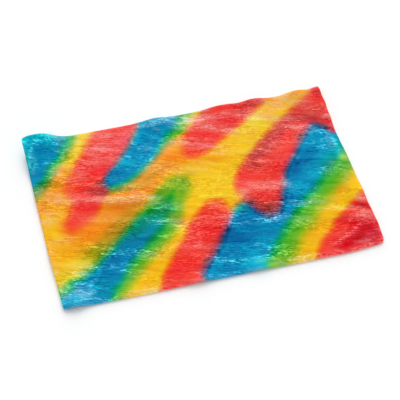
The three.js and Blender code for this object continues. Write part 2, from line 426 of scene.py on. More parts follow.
# %% Outlines of faint red, which turns the yellow to orange
# Each is how strong the red is there, then its outline with border widths.
ORANGE_POOLS = [
    # between the blue and red bands at the left
    (0.22, [
        (2, 31, 6), (4, 24, 7), (2, 18, 7), (-4, 14.5, 7), (-11, 12, 6), (-17, 6, 6), (-22, 0, 6),
        (-28, -6, 7), (-34, -12, 7), (-42, -17.5, 8), (-54, -15.5, 9), (-60, -9, 8), (-62, -3, 8),
        (-70, 4, 8), (-74, 14, 8), (-66, 19, 7), (-58, 22, 6), (-50, 26, 6), (-46, 10, 6), (-40, 4, 6),
        (-32, 11, 5), (-24, 14.5, 5), (-16, 21, 5), (-10, 27, 5), (-4, 31, 5),
    ]),
    # fading out towards the left edge
    (0.10, [
        (-34, -9, 8), (-44, -16, 8), (-54, -20, 8), (-70, -22, 8), (-76, -8, 8), (-64, 0, 8), (-50, -4, 8),
    ]),
    # between the bands at the back right
    (0.15, [
        (38, 54, 5), (42, 42, 6), (36, 36, 7), (40, 31, 6), (47, 36, 6), (55, 41, 5), (59, 46, 5),
        (62, 56, 5),
    ]),
    # below the red in the middle of the back
    (0.09, [
        (8, 24, 8), (-4, 17, 8), (2, 12, 8), (14, 15, 8), (22, 22, 8), (16, 25, 8),
    ]),
]
print("orange pools:", len(ORANGE_POOLS))

# %% Places with more or less dye
# For each dye: how much more of it, then the spot's x, y, half length, half width and any turn.
# Some spots with less blue are painted light: at the raised lip in the back left corner they make the curl
# look lit through from behind, and just inside the front edge they make a painted highlight.
RICHER = {"blue": [
    (-0.25, -54.6, 39.6, 5, 2.4, -10), (-0.3, -57, 44.5, 12, 2.6), (-0.22, -66, 36, 2.6, 9),
    (0.05, -8, 37.2, 6, 2.2, -12), (-0.3, -9, 43.2, 7, 1.6), (0.4, -32, 16, 4, 4, 45),
    (0.3, 50, 9, 5, 3, 40), (0.24, 8, -28, 10, 7, 50), (-0.2, 55, 1.5, 8, 3.6, 45), (-0.25, 62.5, 7, 3, 4),
    (0.5, 42, 2.5, 6, 3.6, 52), (-0.35, 63, 13, 2, 6), (-0.12, 56, 15, 5, 5), (0.32, 12, -25.5, 11, 5, -14),
    (0.3, 2, -41.6, 7, 2, -8), (-0.38, 12, -41.5, 7, 2.4), (-0.16, 27, -30, 5, 3, 50),
    (-0.12, 18, -33, 6, 4, 45), (0.45, -38, -25.6, 6, 2.2, -8), (0.25, -44, -32, 5, 6, -25),
    (0.25, -31, -17, 8, 4, 5), (-0.2, -57, -39.5, 5, 3.4), (-0.25, -62, -42, 6, 3), (-0.1, 40, -6, 5, 4, 50),
    (0.2, 36, -12, 4, 5), (-0.55, -9.5, 3.5, 6.5, 4, 45), (-0.5, 63.2, 3.8, 3, 2.4, 40),
    (-0.3, 18, -41.2, 8, 2), (-0.2, -6, -41.2, 5, 2), (-0.3, -15, -9.2, 3, 3, 45),
    (-0.2, 8, -19.2, 3, 5, -30), (-0.2, 58, -9.2, 4, 3, 40), (-0.15, -64.5, 17.4, 2, 3),
    (-0.15, 21.8, -36.8, 3, 3), (-0.2, -42, -41.8, 3, 1.6), (-0.2, -0.4, 39.8, 2.4, 1.6, -14),
    (-0.22, -63.4, 31.6, 2.6, 3), (-0.3, -41.3, -44.6, 3, 1.6), (-0.2, 13, -45, 4, 1),
    (-0.2, -4.4, -45, 4, 1), (-0.25, 23.4, -35, 3.4, 1.8, 45), (0.15, 3.9, -38.1, 3, 2),
    (0.15, 22.6, -22.7, 3, 1.6), (-0.2, -10.8, 39.6, 3, 1.6, -14), (-0.15, -20, 17.6, 2.4, 1.6, 40),
    (0.1, 12, -20, 10, 5, 30), (0.1, 46, 6, 8, 4, 50), (0.12, 19, -41, 2.4, 1.6, 45),
    (-0.14, -56, 42, 6, 2.6, -5), (-0.1, -64.9, 31, 2, 4), (0.1, -46.6, -38, 4, 4, 45),
    (0.12, 1.8, -42.2, 5, 1.6), (-0.06, 53, 8.7, 5, 4, 45), (-0.34, -50, 43.8, 4.5, 2.4),
    (-0.58, 18.1, -44.1, 3.2, 1.5),
], "red": [
    (0.45, -37, 21.5, 6, 2.4, -14), (0.3, -41, 10.8, 6, 2.4, -20), (-0.4, -51, 14.5, 3, 3),
    (-0.22, -22, 37, 9, 4, 65), (-0.2, -50, -12, 8, 3), (0.15, -48, 14, 6, 2.6, -14),
    (0.3, -46, 3.2, 6, 1.8, -14), (0.55, 22, 35.2, 7, 1.6, -24), (0.35, 26, 42, 9, 1.2, -9),
    (0.25, 9, 30.5, 8, 1.8, -18), (0.3, 54.5, 28.5, 5, 2, -20), (0.4, 63.4, 24, 1.6, 4),
    (2.2, 63.6, 43, 1.6, 3), (0.2, 26, -9, 7, 2.4, -8), (0.35, 55, -30.4, 5, 2.2, -20),
    (1.2, 59.6, -36.2, 5, 2.2, 25), (1.2, 50.6, -41.8, 3.6, 2, 10), (0.9, 62, -23.6, 4.5, 1.2, -28),
    (0.42, -18, -37, 6, 2.4, -8), (0.16, 37, 5, 5, 5), (-0.22, 26, -3.5, 6, 2.2, -10), (-0.1, -35, 38, 8, 8),
    (0.3, 0, -21.4, 6, 3.4, -14), (-0.32, 4, -8.5, 5, 3), (0.35, -30, -0.8, 10, 1.9, -6),
    (0.3, -19, 5.5, 6, 1.6, -14), (0.25, -46, -11, 10, 3, -10), (-0.3, -30, 3.4, 9, 1.5, -9),
    (-0.25, -12, 17, 10, 3, -10), (0.2, -6, 22, 8, 2, -14), (-0.15, 7, 38, 6, 3), (-0.1, -31, 36, 12, 9, 20),
    (-0.6, -5, 7.5, 5, 4, 45), (-0.12, 34, 24, 6, 5, 20), (0.4, 61.5, -39.6, 5, 3.4),
    (0.7, 56, -39.8, 3.4, 2, 45), (-0.4, 50, 42.4, 5, 3), (-0.3, 60, 45.2, 3, 3),
    (-0.6, -60.5, 0.4, 6.5, 4.2, -14), (-0.3, 9.4, -13.8, 2.4, 3), (-0.5, 56, -13.7, 3, 3),
    (-0.35, -64.9, 12.8, 3, 3), (-0.2, 4, -5.2, 5, 3), (-0.2, 52, 41.8, 6, 3, -10),
    (-0.2, -38.5, 14.4, 2.4, 1.6, -14), (-0.35, 61.5, -19.6, 2, 1.6, -30), (-0.3, 53.4, 39.6, 4, 2),
    (-0.25, -19.8, -34.6, 1.6, 4, -30), (-0.15, -52.3, 9.4, 3, 2), (0.5, 55.2, -32.4, 3.4, 1.8, 60),
    (0.5, 60.8, -33.1, 3, 1.8), (0.25, 17.2, 37.2, 4, 1.6, -14), (0.15, 11.7, 34.1, 4, 1.6, -14),
    (0.18, -32.5, 22.5, 3, 2, -14), (-0.25, 64.5, -17.3, 2, 2), (-0.2, 8.4, -10.6, 2.4, 3, -20),
    (-0.15, 17.1, 32.6, 3, 1.4, -14), (-0.54, -65, -25.2, 2.6, 3.6), (-0.58, 16.9, -5.7, 2.4, 2.6),
    (-0.29, -47.2, 20.1, 3, 1.8), (-0.39, 57.3, -40.5, 3.5, 1.3),
], "yellow": [
    (-0.3, 59, -35.5, 7, 4, 30), (-0.3, 51, -41, 6, 3, 10), (-0.4, 62.5, -40, 5, 4),
    (0.25, -30, -1, 12, 3, -8), (0.2, -55, -14, 12, 8), (0.2, 55, -17, 8, 5, 40), (0.25, 40, -34, 10, 4, 48),
    (0.25, -28, -36, 7, 5, 45), (0.2, -50, -21, 5, 4, 30), (-0.25, 5, 5, 14, 8, 20),
    (-0.35, 35, 33, 8, 5, 10), (-0.25, 42, 38, 8, 3, 10), (-0.2, -53, -27, 8, 3, -10),
    (0.3, -57, 18.5, 6, 2.4, -14), (0.35, -47.5, 31, 3.4, 3), (-0.35, -43, 41, 6, 4),
    (-0.34, -50.4, 29.6, 13, 4.2, 55), (-0.28, -13.4, 19.2, 17, 5, 40), (-0.3, -31, 35, 10, 11, 20),
    (-0.45, -22.5, 36.5, 9, 3.4, 62), (-0.3, 38, 22, 6, 4, 20), (0.1, -55, -32, 8, 2, -35),
    (0.25, 14, 15, 7, 2, -14), (0.25, 16, 9.5, 5, 3, -14), (0.3, 32, 25.4, 5, 1.6, -6),
    (-0.3, 16, 18, 8, 2, -10), (-0.2, 17, 24.4, 7, 1.4, -8), (0.35, 54.5, 43, 4, 1.8),
    (-0.25, 50, -21.5, 6, 2, -14), (-0.2, 3, -4, 10, 3, -6), (-0.9, 61.7, 8, 2.4, 3),
    (-0.3, -49, 38.2, 3, 3), (-0.2, -54, 24.8, 4, 3, 30), (-0.3, -0.7, 39.1, 3, 2),
    (-0.5, 56.8, 0.2, 3, 1.4, 45), (-0.5, -58, -33.8, 4, 2, -30), (-0.3, -54.3, -30, 3, 1.6, -14),
    (-0.2, -9.6, 28.8, 3, 2, 40), (-0.25, 22, 23, 5, 2, -12), (-0.4, -61.8, -36, 3, 2),
    (-0.2, -22.8, -5.8, 3, 2, 40), (-0.92, 39.5, -16.6, 2.8, 1.6, -3), (-0.52, 45.7, -10.7, 3, 2.4, 45),
]}
print("places with more or less dye:", sum(map(len, RICHER.values())))

# %% Traces of one dye in another
# For each dye: how much is added, then the spot. Blue in red makes maroon, and yellow in blue makes green.
TRACES = {"blue": [
    (0.06, -37.5, 8.2, 2.6, 2, -40), (0.05, 33, 42.3, 6, 1.8, -8), (0.03, 29, 39, 4, 1.2, -14),
    (0.045, 41, 25, 7, 2.8, 20), (0.035, 34, 19, 7, 4, 40), (0.045, 25, 8.4, 6, 2.4, -10),
    (0.045, 29.5, 14, 6, 3, 30), (0.14, 24, -18.4, 6, 2.6, -8), (0.09, 26, -14.6, 6, 3, -5),
    (0.05, 33, -10, 3, 4, -30), (0.03, 49, 33, 8, 3, 10), (0.05, 55, 28.5, 6, 2.4, -16),
    (0.05, 3.2, -27, 7, 2.4, 52), (0.03, 6.5, -21, 3, 4), (0.04, 59, -36, 7, 4, 20), (0.03, 50, -41, 5, 3),
    (0.04, 61, -41, 5, 3), (0.03, 53.5, -28.5, 5, 2.4, -20), (0.055, 63, -24, 3, 2, -30),
    (0.016, -30, -1, 12, 2.4, -6), (0.055, -28, 8.4, 7, 1.5, 4), (0.045, -17, 13, 6, 1.6, 35),
    (0.09, -48, -20, 5, 3, 15), (0.05, -38.5, -12, 18, 3, 42), (0.05, -48.5, 31.2, 3, 2.6),
    (0.06, -57, 18.8, 5, 2, -14), (0.16, 59.6, 23.2, 3.6, 1.5, -30), (0.03, 59, 30, 6, 4, -20),
    (0.035, -41.5, -16, 19, 2.6, 43), (0.05, -24.5, 29.5, 12, 1.5, 53), (0.06, -4, 8, 5, 3, 45),
    (0.015, 36, 3, 6, 5, 50), (0.02, 2, -25, 6, 2.4, 52), (0.12, -21, -17, 5, 2.6, 45),
    (0.02, 58, -11, 4, 6), (0.02, -62, -30, 4, 4), (0.04, 10, 44, 5, 2), (0.08, -16.6, 3.2, 5, 2.2, 42),
    (0.03, -9, -40.2, 2, 3), (0.03, 58.6, -23.6, 4, 1.6, -20), (0.06, -16.4, 3, 5, 1.8, 40),
    (0.03, 62.8, 22.4, 2, 2), (0.05, 62.6, -0.4, 2, 2), (0.03, -47.6, 33.4, 3, 2),
    (0.05, 55.6, -4.8, 2.6, 1.8, 45), (0.02, 39.6, -20.8, 3, 1.8), (0.05, -38.5, 14.2, 2.4, 1.4, -14),
    (0.07, -57.8, -33.6, 3, 1.4, -14), (0.08, -46.9, 43.2, 2.4, 2), (-0.03, -18.1, -1.6, 3, 1.6, 10),
    (0.02, 49, 19.8, 2, 2.4, -40), (0.03, 38.8, 43.9, 4, 1.6, -10), (0.03, 24.6, -40.2, 3, 2, 45),
    (0.08, -27.1, -8.5, 3, 2, 40), (0.03, 21.2, -41.5, 3, 1.6, 45), (0.02, -3.6, -30, 3, 3),
    (-0.04, -48.7, -19.9, 3, 2, 20), (-0.03, 56.4, -13, 3, 2, 45), (0.06, -42.3, -40.8, 2, 2, 45),
    (0.03, -50.5, -26.7, 3, 1.4, 30), (-0.03, -57.4, 19.8, 3, 1.4, -14), (0.02, -32.5, 22.5, 3, 2, -14),
    (0.1, -41, 10.3, 3.8, 1.8, -24), (0.06, -38, 13.4, 2.6, 1.6, -20), (0.13, 18.9, -11.5, 2.9, 2.9),
    (0.08, 48.8, 19.2, 3, 1.4, 50), (0.09, -6.1, -35.9, 2.9, 1.5, 50), (0.17, -58.3, -34, 3, 1.8, -30),
    (0.13, 0.3, 35, 2.8, 1.6, -14), (0.1, -64.3, 13.1, 2.5, 2.6),
], "red": [
    (0.22, 59.8, 22.6, 3.2, 1.4, -35), (0.17, -39.5, -17.9, 19, 2.8, 43), (0.06, -49.6, 31, 11, 2.4, 55),
    (0.05, -36, -35, 6, 3, 45), (0.06, -11, 18.5, 12, 4.5, 30), (0.05, -30, 3.2, 9, 2.4, -9),
    (0.03, 12, 6, 14, 9, 40), (0.05, 46, 41, 7, 3), (0.06, -18, -28, 6, 8, 40), (0.05, 47, -27, 8, 4, 40),
    (0.1, 59.5, -21, 3, 1.4, -20), (0.06, -8, -14, 5, 6, 40), (0.16, 14.4, -10.8, 3, 2.6, 30),
    (0.06, -14, -10.8, 4, 3, 45), (0.05, -48, 33.8, 4, 2), (0.5, 49.6, -41.1, 3, 1.3),
    (0.05, 21.6, 26.8, 4, 1.6, -14), (0.08, -11.2, -13.7, 3, 2, 45), (0.03, -42, 40.8, 3, 2),
    (-0.05, -40.2, -14.3, 3, 2, 42), (-0.03, 56.4, -13, 3, 2, 45), (-0.04, -64, -5.6, 2, 4),
    (0.07, 31.8, -15.6, 1.6, 3, -20), (0.03, 60.6, 19.9, 2, 1.6), (-0.03, -9.3, 22.8, 3, 1.6, 40),
    (-0.05, -62, -6, 5, 7), (-0.05, 51, 43.4, 6, 2, -5), (0.02, 25.3, 27.8, 4, 2), (-0.03, 45, 37, 7, 3, 35),
    (0.2, 13.6, -10.3, 2.1, 1.5), (0.11, -15.8, -8.8, 2.5, 2.3),
], "yellow": [
    (0.34, -7, 6, 7, 6, 45), (0.46, -14, 0, 6, 5, 45), (0.25, -20, -6, 5, 4, 30), (0.12, -27, -12, 6, 3, 40),
    (0.22, -50, 15.4, 5, 2.4, -14), (0.22, 5, 21.6, 4, 2, -14), (0.12, -3, 35.2, 3, 1.2, -14),
    (0.06, -60, 44.5, 12, 3), (0.05, -65.5, 36, 3, 8), (0.04, -30, -14, 14, 5, 42),
    (0.08, 57, 3, 8, 3.4, 48), (0.2, 65.2, 6.8, 1.6, 5), (-0.08, -38.6, -18.8, 19, 2, 43),
    (-0.07, -52.6, 31.4, 11, 3, 55), (-0.1, -8, 5, 6, 4, 45), (0.14, -21, -17, 5, 2.6, 45),
    (0.1, 14, -11, 3, 2.6, 30), (0.1, 21.6, -37.2, 2, 4), (0.05, 16.6, -41.8, 3, 1.6),
    (0.06, 55.6, -4.8, 2.6, 1.8, 45), (0.05, 0.2, 35.2, 3, 1.6, -14), (0.08, 39.6, -20.8, 3, 1.8),
    (-0.1, -57.8, -33.5, 3, 1.4, -14), (0.08, -63.9, 13.5, 2.4, 2.2), (-0.06, -46.9, 43.2, 2.4, 2),
    (-0.08, -54.3, -29.9, 3, 1.2, -14), (-0.1, -18.1, -1.6, 3, 1.6, 10), (-0.1, 21.6, 26.6, 4, 1.6, -14),
    (0.14, 24.6, -40.2, 3, 2, 45), (0.3, -11.2, -13.7, 3, 2, 45), (-0.12, -27.1, -8.5, 3, 2, 40),
    (0.34, 54, 43.5, 3, 1.4), (0.06, -42, 40.8, 3, 2), (0.12, 8.6, -10.8, 2.4, 3, -20),
    (0.2, -25.4, 7, 4, 1.6, 20), (0.15, -40.2, -14.3, 3, 2, 42), (0.25, -48.7, -19.9, 3, 2, 20),
    (0.35, 56.4, -13, 3, 2, 45), (0.25, -64, -5.6, 2, 4), (0.15, -60.9, 9.9, 3, 2),
    (0.05, 14, -13.4, 2.4, 1.6), (0.06, -18.4, -12, 3, 1.6, 40), (0.05, -50.5, -26.7, 3, 1.4, 30),
    (0.05, -20, 17.6, 2.4, 1.6, 40), (0.03, -14.5, -5.7, 2.4, 1.6, 40), (-0.1, 26.4, 14.3, 3, 1.4, -14),
    (0.1, 51, 43.4, 6, 2, -5), (0.03, -46.6, -38, 4, 4, 45), (0.08, 30, -41.7, 3, 2, 45),
    (0.1, 36.9, -34.6, 4, 3, 45), (0.15, -56.7, -17.4, 5, 4), (0.1, -42, -12.6, 4, 3, 40),
    (0.2, -15.8, -9.1, 2.8, 2.6),
]}
print("traces:", sum(map(len, TRACES.values())))

# %% Places with a painted pale sheen, where the gel is also rougher
# Each is how pale, then the spot.
PAINTED_SHEEN_SPOTS = [
    (0.13, -33, 37, 7, 8, 20), (0.05, -42, 26, 5, 5), (0.05, -47, 19, 5, 2.4, -14), (0.05, -54, 25, 5, 4),
    (0.05, -49.5, 36, 3, 5, -30), (0.05, -41, 40, 5, 3), (0.12, -43, 6.2, 8, 2.2, -14),
    (0.17, -30, 3.4, 8, 1.7, -9), (0.05, -55, 9, 6, 2.4, -14), (0.07, -21.5, 2, 5, 1.6, -12),
    (0.04, -60, 13, 6, 3, -14), (0.04, -43, -4, 9, 2.6, -10), (0.03, -62, 3, 5, 4, -14),
    (0.05, -60, -11.6, 6, 1.8, -6), (0.06, -14, -5, 6, 2.2, -14), (0.1, -15, -12.5, 7, 1.8, -20),
    (0.07, -19, 0.6, 3, 1.4, 10), (0.03, -24, 7, 8, 3, 20), (0.22, 4.5, 40.4, 5, 3.6, -14),
    (0.12, 3.6, 37.4, 3, 1.6, -14), (0.08, -3, 29.2, 2.4, 1.4, -14), (0.12, 11.5, 38.2, 6, 2.8, -10),
    (0.1, 21, 38.6, 7, 1.6, -10), (0.08, 1, 29, 5, 2.6, -14), (0.08, 7, 25.4, 7, 1.8, -20),
    (0.1, 20, 31, 7, 1.6, -18), (0.1, 12, 34, 5, 1.3, -16), (0.11, 32, 36.4, 6, 2.2, -17),
    (0.1, 36, 33, 6, 2.2, -10), (0.08, 45, 40, 8, 3, -6), (0.07, 45, 29.6, 6, 1.8, -17),
    (0.1, 49.5, 25, 5, 1.3, -16), (0.04, 58, 36, 7, 7), (0.03, 36, 16, 12, 8, 40),
    (0.05, 14, 18.6, 9, 1.4, -8), (0.06, 11, 22.8, 8, 1.2, -13), (0.03, -14, 16.5, 11, 3, -8),
    (0.03, 0, 13, 10, 3), (0.03, -8, 5, 7, 3), (0.18, 28, -4, 7, 2.4, -8), (0.05, 21, 0, 6, 1.6, -14),
    (0.06, 3, -14.5, 6, 2, -15), (0.07, -9, -26.6, 7, 2.4, -14), (0.17, 61.4, -29, 5, 2.2, -22),
    (0.05, 59.5, -9.2, 2, 4, -30), (0.1, 42, -16.8, 6, 1.6, -10), (0.05, 35, -24, 6, 1.6, -10),
    (0.04, 50, -21.5, 6, 1.6, -14), (0.04, -55, -26.4, 8, 2.4, -8), (0.42, -57, -39.2, 4.2, 3, -10),
    (0.2, -63, -39, 2, 4), (0.03, 46, -36, 5, 2, -14), (0.05, -27, -27, 5, 2.4, -10),
    (0.04, -36, -34.5, 5, 1.6, -10), (0.22, 26, -21.2, 5, 1.6, -8), (0.05, 41, -43.4, 7, 1.4),
    (0.07, -33, -43.2, 8, 1.3, 3), (0.1, 19, -43.2, 5, 1.1), (0.07, 30, -43.4, 5, 1.2),
    (0.16, 56, 21.8, 3.6, 1.6, -5), (0.16, 61, 14, 2, 5, -10), (0.45, -8, 42, 7, 1.5, 6),
    (0.18, -49, 42.6, 3.4, 1.2), (0.16, 36, -4.6, 1.6, 4, 14), (0.12, 62.6, 27.6, 2, 1.2),
    (0.05, 58, -1, 4, 2.4), (0.06, 63, -4, 2, 3), (0.15, 63.8, -20.2, 2.4, 1.6, -30),
    (0.05, -11.5, -16, 4, 1.6, -14), (0.14, 64.4, 5.8, 2.4, 3), (0.1, 57, 0.6, 3, 1.6, 45),
    (0.12, -50, 43.8, 3, 2), (0.05, 49, 42.8, 6, 3), (0.09, -63, -0.6, 3, 2.6), (0.05, 18.4, -9.8, 3, 2),
    (0.05, -6.4, 28, 3, 2, 40), (0.06, 58.8, -23.8, 4, 1.6, -20), (0.1, -14.8, -2.4, 4, 2.4),
    (0.05, 55, -1.2, 5, 2, 45), (0.07, 46, -10.6, 3, 1.4, 40), (0.06, -8, -41.2, 2, 2),
    (0.08, 60, 44.8, 4, 1.6), (0.04, -62, 0.8, 4, 3), (0.05, -7, 29.8, 2, 2), (0.05, -63, -33.6, 3, 1.6),
    (0.04, -9.6, 28.8, 2.4, 1.6, 40), (0.04, 53.6, 41, 4, 1.6), (0.04, -38.6, 14, 2, 1, -14),
    (0.05, -6.1, -36.1, 2.6, 1.6, 50), (0.05, -64.6, -33.8, 2, 1.6), (-0.04, 49.6, -41.1, 3, 1.3),
    (0.04, 21.6, 26.8, 4, 1.4, -14), (0.05, 38.8, 43.9, 4, 1.4, -10), (0.05, 62, 3, 2.4, 2.4),
    (0.04, 59.3, 39, 4, 2), (0.04, -18.9, 41.6, 3, 3), (0.05, -37.9, 13, 3, 1.4, -14),
    (0.03, -33.2, 29, 4, 4), (0.03, 61, 42.6, 3, 2), (0.04, -27.6, 27.4, 3, 3, 50),
    (0.04, 11.8, 43.2, 3, 1.4), (0.03, -33, 10, 3, 1.4, -14), (0.04, 25.2, 40, 4, 1.4, -10),
    (0.03, -52.3, 9.4, 3, 2), (0.03, -23.7, -21.8, 3, 1.6, -14), (0.03, 28.2, 36.3, 3, 1.4, -14),
    (0.04, -65.3, -18.3, 2, 4), (0.06, -58, 40.4, 5, 2, -10), (0.05, -30.1, -24.9, 2.4, 1.6, 45),
    (0.03, -18.4, -12, 3, 1.6, 40), (0.04, 64.6, 4.7, 2, 2), (0.04, 33.3, -6.8, 1.6, 3, -20),
    (0.03, -1, 37.9, 2, 3, -30), (0.06, -55.8, -45, 4, 1.6), (0.03, 43.4, 30.7, 3, 1.6),
    (0.03, 14, -13.4, 2, 2), (-0.04, 54, 43.6, 3, 1.2), (-0.02, -57.4, 41.6, 4, 2, -10),
    (0.04, 53.6, 20.2, 3, 1.4, 30), (0.05, -49.4, 42.4, 2, 3), (0.04, -10.8, 34.6, 2, 5, -30),
    (0.04, -41, -45, 2, 1), (0.03, -14.5, -5.7, 2.4, 1.6, 40), (0.04, 26.4, 14.3, 3, 1.4, -14),
    (-0.03, 51, 43.6, 6, 1.6, -5), (0.03, 27.6, 26, 5, 8), (0.02, 45, 37, 7, 3, 35),
    (0.03, 26.9, 40.2, 5, 2, -10), (0.03, -31.8, -44.9, 4, 1), (0.14, 49, 19.7, 2, 2.6, -40),
    (0.27, -0.5, 38.9, 2.8, 1.8, -14), (0.24, 40, -16.6, 2.9, 1.4, -8), (0.16, -64.5, 17.6, 2, 2.8),
    (0.11, -54.4, -29.8, 3.2, 1.3, -14), (0.09, -17.4, -1.7, 3.4, 1.8, 10), (0.1, 56.8, -0.8, 3, 1.7, 43),
    (0.14, 49, 43.4, 4, 1.7), (0.1, -49.4, 37.9, 2.5, 2), (0.07, 52.2, 19.6, 2, 2),
    (0.09, -15.6, 29.2, 2, 2.5, -30), (0.09, -4.4, -45, 4, 1), (0.1, 10.8, -45, 3.9, 1),
    (0.11, 28.3, -45, 4, 1), (0.1, -62.9, 33.7, 2, 3.2), (0.07, 53.4, 39.4, 3.6, 2),
    (0.1, -47.2, 19.7, 3.5, 1.4, -14), (0.1, -64.9, -25.3, 2, 3), (0.09, 17, -5.9, 2.8, 2.1),
    (0.11, 48.9, 31, 4.6, 1.6, -14), (0.1, -56.6, 25.9, 2.7, 1.9, -22), (0.09, 57.3, -40.8, 3.6, 1.2),
    (0.09, 64.2, 27.3, 1.9, 3),
]
print("veils:", len(PAINTED_SHEEN_SPOTS))
